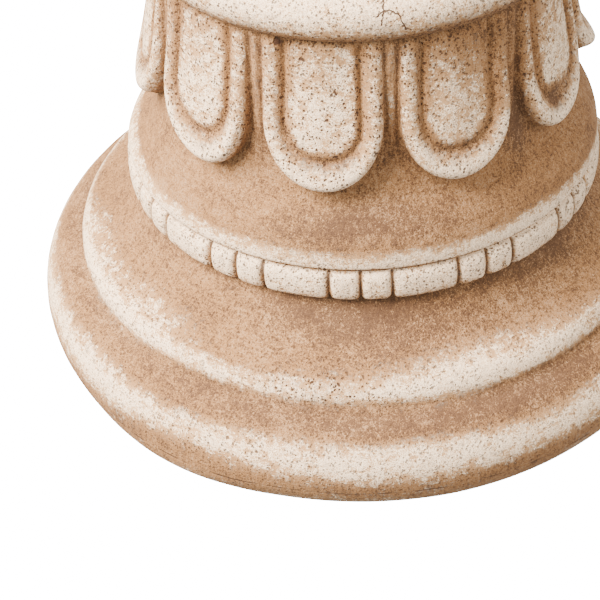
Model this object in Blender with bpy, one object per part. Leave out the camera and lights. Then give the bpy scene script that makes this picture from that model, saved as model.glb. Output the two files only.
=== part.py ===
"""Pedestal column for a garden or a plant stand, cast in stone in one piece.

A round foot of two rolls and a hollow carries a band of long and short blocks, a domed bell and a
collar of ten tongues. A ring closes the collar, and a plain tapering shaft rises from it to a round
capital. Metres, +Z up. The axis is Z, the underside lies on Z = 0, and the front is -Y.
"""

import math

import bmesh
import bpy
from mathutils import Vector

# Foot: a broad roll that the ground cuts a little below its widest, and a smaller one on its shoulder
FOOT_RADIUS = 0.150
FOOT_ROLL = 0.0243
FOOT_SINK = 0.0036
STEP_SETBACK = 0.0197
STEP_ROLL = 0.0120
STEP_RISE = 0.0015

# Collar that carries the tongues. The band, the bell and the ring are set out from its face.
COLLAR_RADIUS = 0.0845
COLLAR_HEIGHT = 0.0485
COLLAR_TAPER = 0.0015

# Bell between the band and the collar, and the thin rounded edge at its foot
BELL_SPREAD = 0.0193
BELL_DOME_DEPTH = 0.0160
BELL_DOME_HEIGHT = 0.0245
BELL_DOME_SWEEP = math.radians(60)
BELL_COVE_HEIGHT = 0.0240
EDGE_HEIGHT = 0.0040
EDGE_ROUND = 0.0012
EDGE_PROUD = 0.0030

# Band of blocks, one long and two short to each repeat, with a groove over it
BAND_REPEATS = 12
SHORT_BLOCK = 0.0127
BLOCK_HEIGHT = 0.0140
BLOCK_PROUD = 0.0042
BLOCK_BEVEL = 0.0016
JOINT_WIDTH = 0.0016
JOINT_DEPTH = 0.0024
GROOVE_HEIGHT = 0.0014

# Hollow between the foot and the band
HOLLOW_HEIGHT = 0.0235
HOLLOW_UNDERCUT = 0.0023

# Tongues of the collar: each has a raised rim, a groove inside it and a rounded panel
TONGUES = 10
TONGUE_GAP = 0.0058
TONGUE_LIP_PROUD = 0.0130
TONGUE_TOP_PROUD = 0.0021
TONGUE_DROP = 0.0158
TONGUE_ROUND_HEIGHT = 0.0300
TONGUE_ROOT = 0.0040
RIM_WIDTH = 0.0076
RIM_FOOT_WIDTH = 0.0118
RIM_SHOULDER = 0.0014
RIM_SHOULDER_DROP = 0.0022
TONGUE_GROOVE_WIDTH = 0.0024
TONGUE_GROOVE_DEPTH = 0.0032
PANEL_EDGE = 0.0056
PANEL_CROWN = 0.0008

# Ring that closes the collar
RING_PROUD = 0.0064
RING_ROLL = 0.0110

# Shaft
SHAFT_COVE_HEIGHT = 0.0060
SHAFT_FOOT_RADIUS = 0.0740
SHAFT_HEAD_RADIUS = 0.0670
SHAFT_HEIGHT = 0.3660
SHAFT_SWELL = 0.0012

# Capital: neck ring, neck, bell, edge, cove and plate, each set out from what is under it
NECK_RING_PROUD = 0.0075
NECK_RING_ROLL = 0.0065
NECK_HEIGHT = 0.0160
CAPITAL_BELL_SPREAD = 0.0350
CAPITAL_BELL_HEIGHT = 0.0400
CAPITAL_EDGE_PROUD = 0.0040
CAPITAL_EDGE_HEIGHT = 0.0060
CAPITAL_COVE_HEIGHT = 0.0100
PLATE_PROUD = 0.0190
PLATE_ROLL = 0.0140
PLATE_ROLL_SWEEP = math.radians(60)
PLATE_TOP_EDGE = 0.0040

# Radii that follow from the sizes above
STEP_RADIUS = FOOT_RADIUS - STEP_SETBACK
EDGE_RADIUS = COLLAR_RADIUS + BELL_SPREAD
BAND_RADIUS = EDGE_RADIUS - EDGE_PROUD
HOLLOW_TOP_RADIUS = BAND_RADIUS - HOLLOW_UNDERCUT
CAPITAL_BELL_RADIUS = SHAFT_HEAD_RADIUS + CAPITAL_BELL_SPREAD
CAPITAL_EDGE_RADIUS = CAPITAL_BELL_RADIUS + CAPITAL_EDGE_PROUD
PLATE_RADIUS = CAPITAL_EDGE_RADIUS + PLATE_PROUD

# Where the rolls of the foot begin and end, and how the hollow leans, as shares of its width and height
FOOT_ROLL_END = math.radians(66)
STEP_START = math.radians(-6)
STEP_END = math.radians(56)
HOLLOW_BEND = (0.35, 0.30)

# How finely round shapes are cut into facets
SIDES = 40
ROLL_FACETS = 7
CURVE_FACETS = 4
SHAFT_FACETS = 4
TONGUE_ROUND_FACETS = 10
TONGUE_SIDE_FACETS = 2

STONE_COLOUR = (0.68, 0.52, 0.39, 1.0)
STONE_ROUGHNESS = 0.85


def arc(centre, radii, start, end, facets):
    """Points of an elliptic arc in the (radius, height) plane, from start to end in radians."""
    steps = [start + (end - start) * i / facets for i in range(facets + 1)]
    return [(centre[0] + radii[0] * math.cos(a), centre[1] + radii[1] * math.sin(a)) for a in steps]


def blend(start, bend, end, facets):
    """Points of a quadratic curve that leaves start and reaches end along the lines to bend."""
    points = []
    for i in range(facets + 1):
        t = i / facets
        weights = ((1 - t) ** 2, 2 * t * (1 - t), t * t)
        points.append(tuple(sum(w * p[k] for w, p in zip(weights, (start, bend, end))) for k in (0, 1)))
    return points


def quarter(start, end, facets, level_first):
    """A quarter-round curve between two points that leaves start level or upright."""
    bend = (end[0], start[1]) if level_first else (start[0], end[1])
    return blend(start, bend, end, facets)


def roll(face, proud, radius, base, facets):
    """A half-round roll that starts on an upright face at base and ends at the roll's top."""
    centre_radius = face + proud - radius
    start = -math.acos((face - centre_radius) / radius)
    centre = (centre_radius, base - radius * math.sin(start))
    return arc(centre, (radius, radius), start, math.radians(90), facets)


def foot_profile():
    """The two rolls of the foot and the hollow above them, from the ground up."""
    centre = (FOOT_RADIUS - FOOT_ROLL, FOOT_ROLL - FOOT_SINK)
    ground = -math.asin(centre[1] / FOOT_ROLL)
    broad = arc(centre, (FOOT_ROLL, FOOT_ROLL), ground, FOOT_ROLL_END, ROLL_FACETS)
    step_centre = (STEP_RADIUS - STEP_ROLL, centre[1] + FOOT_ROLL + STEP_RISE)
    step = arc(step_centre, (STEP_ROLL, STEP_ROLL), STEP_START, STEP_END, CURVE_FACETS)
    low = step[-1]
    high = (HOLLOW_TOP_RADIUS, low[1] + HOLLOW_HEIGHT)
    bend = (high[0] + HOLLOW_BEND[0] * (low[0] - high[0]), low[1] + HOLLOW_BEND[1] * HOLLOW_HEIGHT)
    return broad + step + blend(low, bend, high, CURVE_FACETS)[1:]


def edge_profile(base):
    """The thin rounded edge over the groove."""
    return [
        (EDGE_RADIUS - 2 * EDGE_ROUND, base),
        (EDGE_RADIUS - EDGE_ROUND / 2, base + EDGE_ROUND),
        (EDGE_RADIUS, base + EDGE_HEIGHT / 2),
    ]


def bell_profile(base):
    """The domed bell and the cove that leads up to the face of the collar."""
    dome_centre = (EDGE_RADIUS - BELL_DOME_DEPTH, base)
    dome = arc(dome_centre, (BELL_DOME_DEPTH, BELL_DOME_HEIGHT), 0.0, BELL_DOME_SWEEP, CURVE_FACETS)[1:]
    foot = dome[-1]
    top = (COLLAR_RADIUS + COLLAR_TAPER, foot[1] + BELL_COVE_HEIGHT)
    lean = BELL_DOME_DEPTH * math.sin(BELL_DOME_SWEEP) / (BELL_DOME_HEIGHT * math.cos(BELL_DOME_SWEEP))
    bend = (top[0], foot[1] + (foot[0] - top[0]) / lean)
    return dome + blend(foot, bend, top, CURVE_FACETS)[1:]


def shaft_profile(base):
    """A small cove, then the tapering shaft with a slight swell."""
    ring_top = COLLAR_RADIUS + RING_PROUD - RING_ROLL
    foot = (SHAFT_FOOT_RADIUS, base + SHAFT_COVE_HEIGHT)
    points = quarter((ring_top, base), foot, 2, True)[1:]
    for i in range(1, SHAFT_FACETS + 1):
        share = i / SHAFT_FACETS
        radius = SHAFT_FOOT_RADIUS + (SHAFT_HEAD_RADIUS - SHAFT_FOOT_RADIUS) * share
        points.append((radius + SHAFT_SWELL * math.sin(math.pi * share), foot[1] + SHAFT_HEIGHT * share))
    return points


def capital_profile(base):
    """Neck ring, neck, bell, edge, cove and the round plate with its flat top."""
    points = roll(SHAFT_HEAD_RADIUS, NECK_RING_PROUD, NECK_RING_ROLL, base, CURVE_FACETS + 1)[1:]
    ring_top = points[-1][1]
    neck_top = ring_top + NECK_HEIGHT
    points.append((SHAFT_HEAD_RADIUS, ring_top))
    middle = ((SHAFT_HEAD_RADIUS + CAPITAL_BELL_RADIUS) / 2, neck_top + CAPITAL_BELL_HEIGHT / 2)
    bell_top = neck_top + CAPITAL_BELL_HEIGHT
    points += quarter((SHAFT_HEAD_RADIUS, neck_top), middle, 3, False)
    points += quarter(middle, (CAPITAL_BELL_RADIUS, bell_top), 3, True)[1:]
    edge_top = bell_top + CAPITAL_EDGE_HEIGHT
    points += [(CAPITAL_EDGE_RADIUS, bell_top), (CAPITAL_EDGE_RADIUS, edge_top)]
    plate_foot = (PLATE_RADIUS - PLATE_ROLL, edge_top + CAPITAL_COVE_HEIGHT)
    points += quarter((CAPITAL_BELL_RADIUS, edge_top), plate_foot, 2, False)
    plate_centre = (plate_foot[0], plate_foot[1] + PLATE_ROLL)
    level = math.radians(-90)
    points += arc(plate_centre, (PLATE_ROLL, PLATE_ROLL), level, PLATE_ROLL_SWEEP, ROLL_FACETS - 1)[1:]
    shoulder = points[-1]
    top = (shoulder[0] - PLATE_TOP_EDGE, shoulder[1] + PLATE_TOP_EDGE)
    return points + quarter(shoulder, top, 2, False)[1:]


def plain_ring(radius, height):
    """One level ring of points, as (azimuth, radius, height)."""
    return [(2 * math.pi * i / SIDES, radius, height) for i in range(SIDES)]


def block_stations():
    """Azimuths round the band, each with how far the stone is cut back there from a block's face."""
    repeat = 2 * math.pi / BAND_REPEATS
    short = SHORT_BLOCK / BAND_RADIUS
    shoulder = (JOINT_WIDTH + BLOCK_BEVEL) / 2 / BAND_RADIUS
    half_long = repeat / 2 - short
    stations = []
    for turn in range(BAND_REPEATS):
        middle = turn * repeat
        joints = [middle - half_long, middle + half_long, middle + half_long + short, middle + repeat - half_long]
        for start, end in zip(joints, joints[1:]):
            stations += [(start, JOINT_DEPTH), (start + shoulder, 0.0), (end - shoulder, 0.0)]
        stations += [(middle - half_long / 3, 0.0), (middle + half_long / 3, 0.0)]
    return stations


def band_rings(base):
    """Rings of the block band: foot, rounded face, head and the bottom of the groove above."""
    levels = ((0.0, 0.65), (0.20, 0.12), (0.50, 0.0), (0.80, 0.12), (1.0, 0.65))
    stations = block_stations()
    rings = []
    for share, rounding in levels:
        face = BAND_RADIUS + BLOCK_PROUD * (1 - rounding)
        height = base + share * BLOCK_HEIGHT
        rings.append([(a, face - cut * (1 - rounding), height) for a, cut in stations])
    rings.append([(a, BAND_RADIUS, base + BLOCK_HEIGHT + GROOVE_HEIGHT) for a, _ in stations])
    return rings


def point_on(azimuth, radius, height):
    """Azimuth 0 faces -Y, and azimuths grow towards +X."""
    return Vector((radius * math.sin(azimuth), -radius * math.cos(azimuth), height))


def stitch(mesh, low, high):
    """Join two closed rings of (azimuth, vertex) that may have different numbers of points."""
    i, j = 0, 0
    turn = 2 * math.pi
    while i < len(low) or j < len(high):
        next_low = low[(i + 1) % len(low)][0] + turn * ((i + 1) // len(low))
        next_high = high[(j + 1) % len(high)][0] + turn * ((j + 1) // len(high))
        a = low[i % len(low)][1]
        b = high[j % len(high)][1]
        if j >= len(high) or (i < len(low) and next_low <= next_high):
            mesh.faces.new((a, low[(i + 1) % len(low)][1], b))
            i += 1
        else:
            mesh.faces.new((a, high[(j + 1) % len(high)][1], b))
            j += 1


def grid(mesh, low, high):
    """Join two rings of the same azimuths with square faces."""
    count = len(low)
    for i in range(count):
        k = (i + 1) % count
        mesh.faces.new((low[i][1], low[k][1], high[k][1], high[i][1]))


def turned_body():
    """The whole casting without its tongues, as one closed mesh. Returns it with the collar's base."""
    foot = foot_profile()
    rings = [plain_ring(r, z) for r, z in foot]
    band = band_rings(foot[-1][1])
    rings += band
    edge = edge_profile(band[-1][0][2])
    bell = bell_profile(edge[-1][1])
    collar_base = bell[-1][1]
    collar_top = collar_base + COLLAR_HEIGHT
    ring = roll(COLLAR_RADIUS, RING_PROUD, RING_ROLL, collar_top, ROLL_FACETS)
    shaft = shaft_profile(ring[-1][1])
    capital = capital_profile(shaft[-1][1])
    rings += [plain_ring(r, z) for r, z in edge + bell + ring + shaft + capital]

    mesh = bmesh.new()
    rows = []
    for ring_points in rings:
        ordered = sorted(((a % (2 * math.pi)), r, z) for a, r, z in ring_points)
        rows.append([(a, mesh.verts.new(point_on(a, r, z))) for a, r, z in ordered])
    for low, high in zip(rows, rows[1:]):
        same = len(low) == len(high) and all(abs(p[0] - q[0]) < 1e-6 for p, q in zip(low, high))
        (grid if same else stitch)(mesh, low, high)
    for row, height in ((rows[0], 0.0), (rows[-1], capital[-1][1])):
        hub = mesh.verts.new((0.0, 0.0, height))
        for i in range(len(row)):
            mesh.faces.new((row[i][1], row[(i + 1) % len(row)][1], hub))
    bmesh.ops.recalc_face_normals(mesh, faces=mesh.faces)
    return mesh, collar_base, collar_top


def tongue_loops():
    """How a tongue is cut across: (distance in from its outline, drop below the crest)."""
    panel = RIM_WIDTH + TONGUE_GROOVE_WIDTH
    return (
        (RIM_SHOULDER, RIM_SHOULDER_DROP),
        (RIM_WIDTH / 2, 0.0),
        (RIM_WIDTH - RIM_SHOULDER / 2, RIM_SHOULDER_DROP / 3),
        (RIM_WIDTH + TONGUE_GROOVE_WIDTH / 2, TONGUE_GROOVE_DEPTH),
        (panel + RIM_SHOULDER / 2, RIM_SHOULDER_DROP / 3),
        (panel + PANEL_EDGE, -PANEL_CROWN),
    )


def tongue(mesh, azimuth, base, top):
    """One closed tongue, rooted in the collar and the bell behind it."""
    half_width = math.pi * COLLAR_RADIUS / TONGUES - TONGUE_GAP / 2
    low = base - TONGUE_DROP
    centre = low + TONGUE_ROUND_HEIGHT
    head = top + TONGUE_ROOT
    lip = low + RIM_FOOT_WIDTH / 2
    foot_stretch = RIM_FOOT_WIDTH / RIM_WIDTH

    def crest(height):
        """Radius of the crest at a height: it leans in from the lip to the ring."""
        share = (height - lip) / (top - lip)
        return COLLAR_RADIUS + TONGUE_LIP_PROUD + (TONGUE_TOP_PROUD - TONGUE_LIP_PROUD) * share

    def outline(inset):
        """The U of the tongue, drawn in by inset, from its left head round to its right head."""
        width = half_width - inset
        depth = centre - low - inset * foot_stretch
        side = [head + (centre - head) * i / TONGUE_SIDE_FACETS for i in range(TONGUE_SIDE_FACETS)]
        points = [(-width, z) for z in side]
        for i in range(TONGUE_ROUND_FACETS + 1):
            turn = math.pi * i / TONGUE_ROUND_FACETS
            points.append((-width * math.cos(turn), centre - depth * math.sin(turn)))
        return points + [(width, z) for z in reversed(side)]

    def place(x, z, radius):
        return mesh.verts.new(point_on(azimuth + x / COLLAR_RADIUS, radius, z))

    back = [place(x, z, COLLAR_RADIUS - TONGUE_ROOT) for x, z in outline(0.0)]
    rows = [back]
    for inset, drop in tongue_loops():
        rows.append([place(x, z, crest(z) - drop) for x, z in outline(inset)])
    for outer, inner in zip(rows, rows[1:]):
        for i in range(len(outer) - 1):
            mesh.faces.new((outer[i], outer[i + 1], inner[i + 1], inner[i]))
    for closed in (rows[-1], back):
        for i in range((len(closed) - 1) // 2):
            k = len(closed) - 1 - i
            corners = (closed[i], closed[i + 1], closed[k - 1], closed[k])
            mesh.faces.new(dict.fromkeys(corners))
    heads = [row[0] for row in rows] + [row[-1] for row in reversed(rows)]
    mesh.faces.new(heads)


def collar_of_tongues(base, top):
    """All the tongues, one every equal share of the turn, the first at the front."""
    mesh = bmesh.new()
    for turn in range(TONGUES):
        tongue(mesh, 2 * math.pi * turn / TONGUES, base, top)
    bmesh.ops.recalc_face_normals(mesh, faces=mesh.faces)
    bmesh.ops.triangulate(mesh, faces=[f for f in mesh.faces if len(f.verts) > 4])
    return mesh


def add_object(name, mesh):
    """Put a bmesh into the scene as an object of that name."""
    data = bpy.data.meshes.new(name)
    mesh.to_mesh(data)
    mesh.free()
    data.shade_smooth()
    data.set_sharp_from_angle(angle=math.radians(38))
    item = bpy.data.objects.new(name, data)
    bpy.context.collection.objects.link(item)
    return item


def stone_material():
    """Cast stone with a warm brown patina."""
    material = bpy.data.materials.new("cast stone")
    material.use_nodes = True
    shader = material.node_tree.nodes["Principled BSDF"]
    shader.inputs["Base Color"].default_value = STONE_COLOUR
    shader.inputs["Roughness"].default_value = STONE_ROUGHNESS
    shader.inputs["Metallic"].default_value = 0.0
    material.diffuse_color = STONE_COLOUR
    return material


def build():
    """The casting: the turned body with the tongues made one with it."""
    for item in list(bpy.data.objects):
        bpy.data.objects.remove(item)
    body, collar_base, collar_top = turned_body()
    column = add_object("pedestal_column", body)
    column.data.materials.append(stone_material())
    tongues = add_object("tongue_shapes", collar_of_tongues(collar_base, collar_top))
    tongues.hide_render = True
    tongues.display_type = "WIRE"
    union = column.modifiers.new("Tongues", "BOOLEAN")
    union.operation = "UNION"
    union.solver = "EXACT"
    union.object = tongues


build()
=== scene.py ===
"""Looks of a weathered cast-stone pedestal column, built round its fixed frame.

The whole column is one casting: a foot of two rolls, a band of blocks, a bell, a collar of tongues,
a ring, a plain shaft and a round capital. Metres, +Z up, the axis on Z, the front at -Y.
"""

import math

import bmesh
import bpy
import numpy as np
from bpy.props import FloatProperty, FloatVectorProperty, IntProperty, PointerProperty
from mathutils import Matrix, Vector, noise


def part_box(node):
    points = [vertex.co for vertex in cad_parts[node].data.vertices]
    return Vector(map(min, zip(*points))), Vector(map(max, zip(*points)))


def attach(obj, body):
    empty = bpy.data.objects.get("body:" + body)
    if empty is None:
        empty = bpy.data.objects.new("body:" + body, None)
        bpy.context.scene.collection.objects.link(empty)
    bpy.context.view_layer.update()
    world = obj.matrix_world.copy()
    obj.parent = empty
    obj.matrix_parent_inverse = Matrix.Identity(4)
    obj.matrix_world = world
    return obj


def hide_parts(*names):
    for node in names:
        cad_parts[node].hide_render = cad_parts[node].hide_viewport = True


bl_info = {
    "name": "Cast pedestal column",
    "version": (1, 0, 0),
    "blender": (4, 5, 0),
    "location": "View3D > Sidebar > Column",
    "description": "A weathered cast-stone pedestal column in a plain studio",
    "category": "Add Mesh",
}

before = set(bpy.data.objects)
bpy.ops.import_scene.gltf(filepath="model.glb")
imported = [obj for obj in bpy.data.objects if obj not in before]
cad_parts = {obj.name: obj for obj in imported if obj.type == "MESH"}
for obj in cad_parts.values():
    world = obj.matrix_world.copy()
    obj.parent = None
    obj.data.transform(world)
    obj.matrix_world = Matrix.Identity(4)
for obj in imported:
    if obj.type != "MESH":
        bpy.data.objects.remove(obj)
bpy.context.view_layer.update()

NODE = "pedestal_column"
BODY = "root"

MM = 0.001
TINY = 1e-6
NODE_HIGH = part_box(NODE)[1]
# Columns round a plain zone, and round one with blocks or tongues.
COARSE = 360
FINE = 720
WELD = 0.01 * MM

PAINT = ("wear", "dirt_and_painted_shade", "pitting")
# Wear, then dirt, along each moulding from its start to its end; on the foot roll and the ring they also hold
# painted light and shade.
MOULDINGS = {
    "underside": ((0, 0), (0.3, 0.3)),
    # On the foot roll's lower side the wear, and the dirt kept low, are painted light that lightens the roll
    # where it lies in shade; the wear on its crest is rubbing.
    "foot roll": (
        (0.20, 0.20, 0.20, 0.16, 0.10, 0.40, 0.90, 0.40, 0.0, 0.0),
        (0.24, 0.16, 0.10, 0.06, 0.03, 0.0, 0.0, 0.0, 0.20, 0.45),
    ),
    "under the step": ((0, 0.1), (0.35, 0.45)),
    "step": ((0.05, 0.50, 0.80, 0.52, 0.16), (0.50, 0.0, 0.0, 0.0)),
    "hollow": ((0.14, 0.03, 0.0, 0.0, 0.0), (0.0, 0.02, 0.12, 0.30, 0.80)),
    "under the blocks": ((0, 0.2), (0.85, 0.7)),
    "blocks": ((0.30, 0.55, 0.85, 1.0, 1.0, 0.9), (0.25, 0.0, 0.0, 0.0, 0.15)),
    "groove over the blocks": ((0.5, 0.0), (0.4, 0.9)),
    "under the edge": ((0.0, 0.6), (0.9, 0.2)),
    "edge": ((0.6, 1.0), (0.2, 0.0)),
    "bell": ((0.95, 0.55, 0.12, 0.02, 0.0, 0.0, 0.0, 0.0), (0.0, 0.02, 0.1, 0.12)),
    "cove": ((0.0, 0.0), (0.1, 0.2, 0.5)),
    "collar": ((0.0, 0.0), (0.5, 0.55, 0.75)),
    # On the ring's underside its dirt is painted shade under the ring.
    "ring": ((0.0, 0.05, 0.28, 0.64, 0.88, 0.92, 0.82, 0.55, 0.30), (0.50, 0.34, 0.14, 0, 0, 0.1)),
    "shaft's cove": ((0.4, 0.0), (0.3, 0.5)),
    "shaft": ((0.0, 0.30, 0.45, 0.5, 0.45, 0.35, 0.1), (0.45, 0.1, 0.0, 0.0, 0.0, 0.2)),
    "neck ring": ((0.0, 0.9, 1.0, 0.6), (0.5, 0.0, 0.0, 0.2)),
    "over the neck ring": ((0.5, 0.0), (0.3, 0.6)),
    "neck": ((0.0, 0.15), (0.6, 0.2)),
    "capital's bell": ((0.1, 0.05, 0.2), (0.1, 0.2, 0.1)),
    "capital's lip": ((0.2, 0.8, 1.0, 0.5), (0.1, 0.0, 0.0, 0.4)),
    "under the capital's edge": ((0.2, 0.8), (0.6, 0.0)),
    "capital's edge": ((0.9, 1.0), (0.0, 0.0)),
    "over the capital's edge": ((0.9, 0.0), (0.0, 0.5)),
    "capital's cove": ((0.0, 0.1), (0.6, 0.3)),
    "plate's side": ((0.1, 0.0, 0.6, 1.0, 1.0, 0.8), (0.3, 0.1, 0.0)),
    "plate's rim": ((0.8, 0.9), (0.0, 0.0)),
    "plate": ((0.9, 0.4, 0.3, 0.35), (0.0, 0.05)),
}
# How many air holes each zone has.
ZONE_PITTING = {"foot": 0.52, "band": 0.85, "bell": 0.30, "collar": 0.35, "upper": 0.80}

# Shares that lead the hollow's curve, outwards and upwards.
HOLLOW_BEND = (0.35, 0.30)
# Where the bell's dome ends, in degrees.
BELL_END = 60
SHAFT_ROWS = 13
# How far the blocks' foot stands out, as a share of theirs, and how square their section is.
BLOCK_FOOT = 0.25
BLOCK_FOOT_RISE = 0.2 * MM
BLOCK_SECTION = {"turn": 84, "rows": 12, "outwards": 0.55, "upwards": 0.9}
# The groove over the blocks: how far it stands out from the band, and at what share of its height.
BAND_GROOVE_PROUD = 0.6 * MM
BAND_GROOVE_AT = 0.55
# Where a block's flank starts and ends, as shares of how far it stands out.
BLOCK_FLANK = (0.1, 0.6)
# A joint between blocks: its reach and that of its rounded corners in joint widths, and what it takes away.
JOINT_REACH = 0.80
CORNER_REACH = 1.6
JOINT_SHARE = 0.62
JOINT_WEAR = 0.8
JOINT_DIRT = 0.85

# A tongue flares down to its lip, and its groove is nearly a half round.
FLARE_BEND = 1.5
MOST_FLARE = 1.15
GROOVE_ROUND = 0.97
# How far from a tongue's outline, its groove or its top each change on it reaches.
REACH = {
    "columns": 0.4 * MM,
    "crowding": 2.6 * MM,
    "face": 1.0 * MM,
    "paint": 0.8 * MM,
    "flank": 1.2 * MM,
    "panel's edge": 3.5 * MM,
    "panel's top": 4 * MM,
    "under the ring": 9 * MM,
    "groove's side": 0.5 * MM,
    "groove": 1.9 * MM,
    "groove's lower end": 0.9 * MM,
}
# How far over a tongue's lower end the ridge beside it starts and is full.
DART_RISE = (10 * MM, 26 * MM)
# Wear of a tongue's rim and panel, with what is added at the lower end and on the way down.
RIM_WEAR = {"all": 0.34, "lower end": 0.50, "downwards": 0.26}
PANEL_WEAR = {"all": 0.36, "downwards": 0.34}
# Painted shadow of the ring: wear taken away at a tongue's top.
RING_SHADOW_WEAR = -0.15
DART_WEAR = 0.20
# Dirt of a tongue's groove, its flank and the face beside it, and the painted shadow of the ring at its top.
GROOVE_DIRT = {"all": 0.28, "lower end": 0.20}
FLANK_DIRT = 0.18
FACE_DIRT = 0.14
# Painted shadow of the ring: dirt added at a tongue's top.
RING_SHADOW_DIRT = 0.20
DART_CLEAN = 0.5


def length(name, default, description):
    """A size in metres that a user can change."""
    return FloatProperty(name=name, description=description, default=default, unit="LENGTH", precision=5)


def colour(name, default, description):
    """A colour that a user can change."""
    return FloatVectorProperty(
        name=name, description=description, default=default, subtype="COLOR", min=0, max=1,
    )


def angle(name, degrees, description):
    """An angle that a user can change."""
    return FloatProperty(name=name, description=description, default=math.radians(degrees), subtype="ANGLE")


def amount(name, default, description):
    """A plain number that a user can change."""
    return FloatProperty(name=name, description=description, default=default, min=0)


class ColumnShape(bpy.types.PropertyGroup):
    """Sizes of the casting. The outer ones come from the frame."""

    foot_radius: length("Foot radius", NODE_HIGH[0], "Radius of the broad roll on the ground")
    foot_roll: length("Foot roll", 0.0243, "Radius of the broad roll's section")
    foot_sink: length("Foot sink", 0.0036, "How much of the broad roll the ground cuts away")
    step_setback: length("Step setback", 0.0197, "How far the second roll stands back from the first")
    step_roll: length("Step roll", 0.0120, "Radius of the second roll's section")
    step_rise: length("Step rise", 0.0015, "Height of the second roll's middle over the top of the first")
    hollow_height: length("Hollow height", 0.0235, "Height of the hollow under the band")
    hollow_undercut: length("Hollow undercut", 0.0023, "How far the hollow goes in behind the band")
    collar_radius: length("Collar radius", 0.0845, "Radius of the face between the tongues")
    collar_height: length("Collar height", 0.0485, "Height of the upright part of the collar")
    collar_taper: length("Collar taper", 0.0015, "How much wider the collar's face is at its foot")
    bell_spread: length("Bell spread", 0.0193, "How far the bell's edge stands out from the collar")
    bell_depth: length("Bell depth", 0.0160, "Radial half axis of the bell's dome")
    bell_height: length("Bell height", 0.0245, "Upright half axis of the bell's dome")
    cove_height: length("Cove height", 0.0240, "Height of the cove between bell and collar")
    edge_height: length("Edge height", 0.0040, "Height of the thin edge over the blocks")
    edge_round: length("Edge round", 0.0012, "Rounding of the thin edge")
    edge_proud: length("Edge stands out", 0.0030, "How far the thin edge stands out from the groove")
    block_height: length("Block height", 0.0140, "Height of the blocks")
    block_proud: length("Block stands out", 0.0042, "How far the blocks stand out from the band")
    short_block: length("Short block", 0.0127, "Length of a short block")
    joint_width: length("Joint width", 0.0011, "Width of the joints between blocks")
    joint_depth: length("Joint depth", 0.0019, "Depth of the joints between blocks")
    groove_height: length("Groove height", 0.0014, "Height of the groove over the blocks")
    tongue_gap: length("Tongue gap", 0.0058, "Width of the gap between two tongues")
    lip_proud: length("Tongue lip", 0.0130, "How far a tongue's lip stands out from the collar")
    top_proud: length("Tongue top", 0.0021, "How far a tongue's top stands out from the collar")
    tongue_drop: length("Tongue drop", 0.0158, "How far the tongues hang over the bell")
    tongue_round: length("Tongue round", 0.0300, "Height of a tongue's rounded end")
    rim_width: length("Rim width", 0.0076, "Width of a tongue's rim at its sides")
    rim_foot: length("Rim foot width", 0.0118, "Width of a tongue's rim at its lower end")
    groove_at: length("Tongue groove", 0.0088, "How far inside a tongue's outline its groove lies")
    groove_depth: length("Tongue groove depth", 0.0032, "Depth of the groove inside a rim")
    panel_edge: length("Panel edge", 0.0112, "How far inside a tongue's outline its panel starts")
    panel_sink: length("Panel sink", 0.0013, "How far the edge of the panel lies under the rim's crest")
    panel_crown: length("Panel crown", 0.0009, "How far a tongue's panel is crowned")
    dart_width: length("Dart width", 0.0062, "Width of the slim ridge between two tongues")
    dart_proud: length("Dart stands out", 0.0012, "How far the ridge between two tongues stands out")
    ring_proud: length("Ring stands out", 0.0064, "How far the ring stands out from the collar")
    ring_roll: length("Ring roll", 0.0110, "Radius of the ring's section")
    shaft_cove: length("Shaft cove", 0.0060, "Height of the cove at the foot of the shaft")
    shaft_foot: length("Shaft foot radius", 0.0740, "Radius of the shaft at its foot")
    shaft_head: length("Shaft head radius", 0.0670, "Radius of the shaft at its head")
    shaft_height: length("Shaft height", 0.3660, "Height of the shaft")
    shaft_swell: length("Shaft swell", 0.0012, "Swell of the shaft at half its height")
    neck_proud: length("Neck ring stands out", 0.0075, "How far the neck ring stands out")
    neck_roll: length("Neck ring roll", 0.0065, "Radius of the neck ring's section")
    neck_height: length("Neck height", 0.0160, "Height of the neck")
    capital_spread: length("Capital spread", 0.0350, "How far the capital's bell spreads")
    capital_height: length("Capital bell height", 0.0400, "Height of the capital's bell")
    capital_edge: length("Capital edge", 0.0040, "How far the capital's edge stands out")
    capital_edge_height: length("Capital edge height", 0.0060, "Height of the capital's edge")
    capital_cove: length("Capital cove", 0.0100, "Height of the cove under the plate")
    plate_proud: length("Plate stands out", 0.0190, "How far the plate stands out from the edge")
    plate_roll: length("Plate roll", 0.0140, "Radius of the plate's rounded side")
    plate_edge: length("Plate edge", 0.0040, "Rounding of the plate's upper edge")
    tongues: IntProperty(name="Tongues", description="Tongues round the collar", default=10, min=3)
    repeats: IntProperty(name="Block repeats", description="Repeats round the band", default=12, min=3)


class ColumnFinish(bpy.types.PropertyGroup):
    """Colours and wear of the stone."""

    # Rubbed stone and cream also paint light on the foot roll's lower side.
    rubbed: colour("Rubbed stone", (0.97, 0.76, 0.53), "Bare stone where the high edges are rubbed")
    cream: colour("Cream", (0.50, 0.293, 0.140), "Thin wash between the rubbed stone and the patina")
    patina: colour("Patina", (0.258, 0.125, 0.046), "Brown wash on the broad surfaces")
    # The stain colour also paints the shade under the ring and on the side away from the key light.
    stain_and_painted_shade: colour("Stain", (0.080, 0.039, 0.020), "Dark wash that settled in the hollows")
    hole: colour("Air hole", (0.055, 0.024, 0.012), "Inside of the air holes and cracks")
    unevenness: length("Unevenness", 0.0003, "How far the cast surface wanders")
    seam: length("Mould seam", 0.0150, "Height of the seam that the mould left on the foot")


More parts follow.
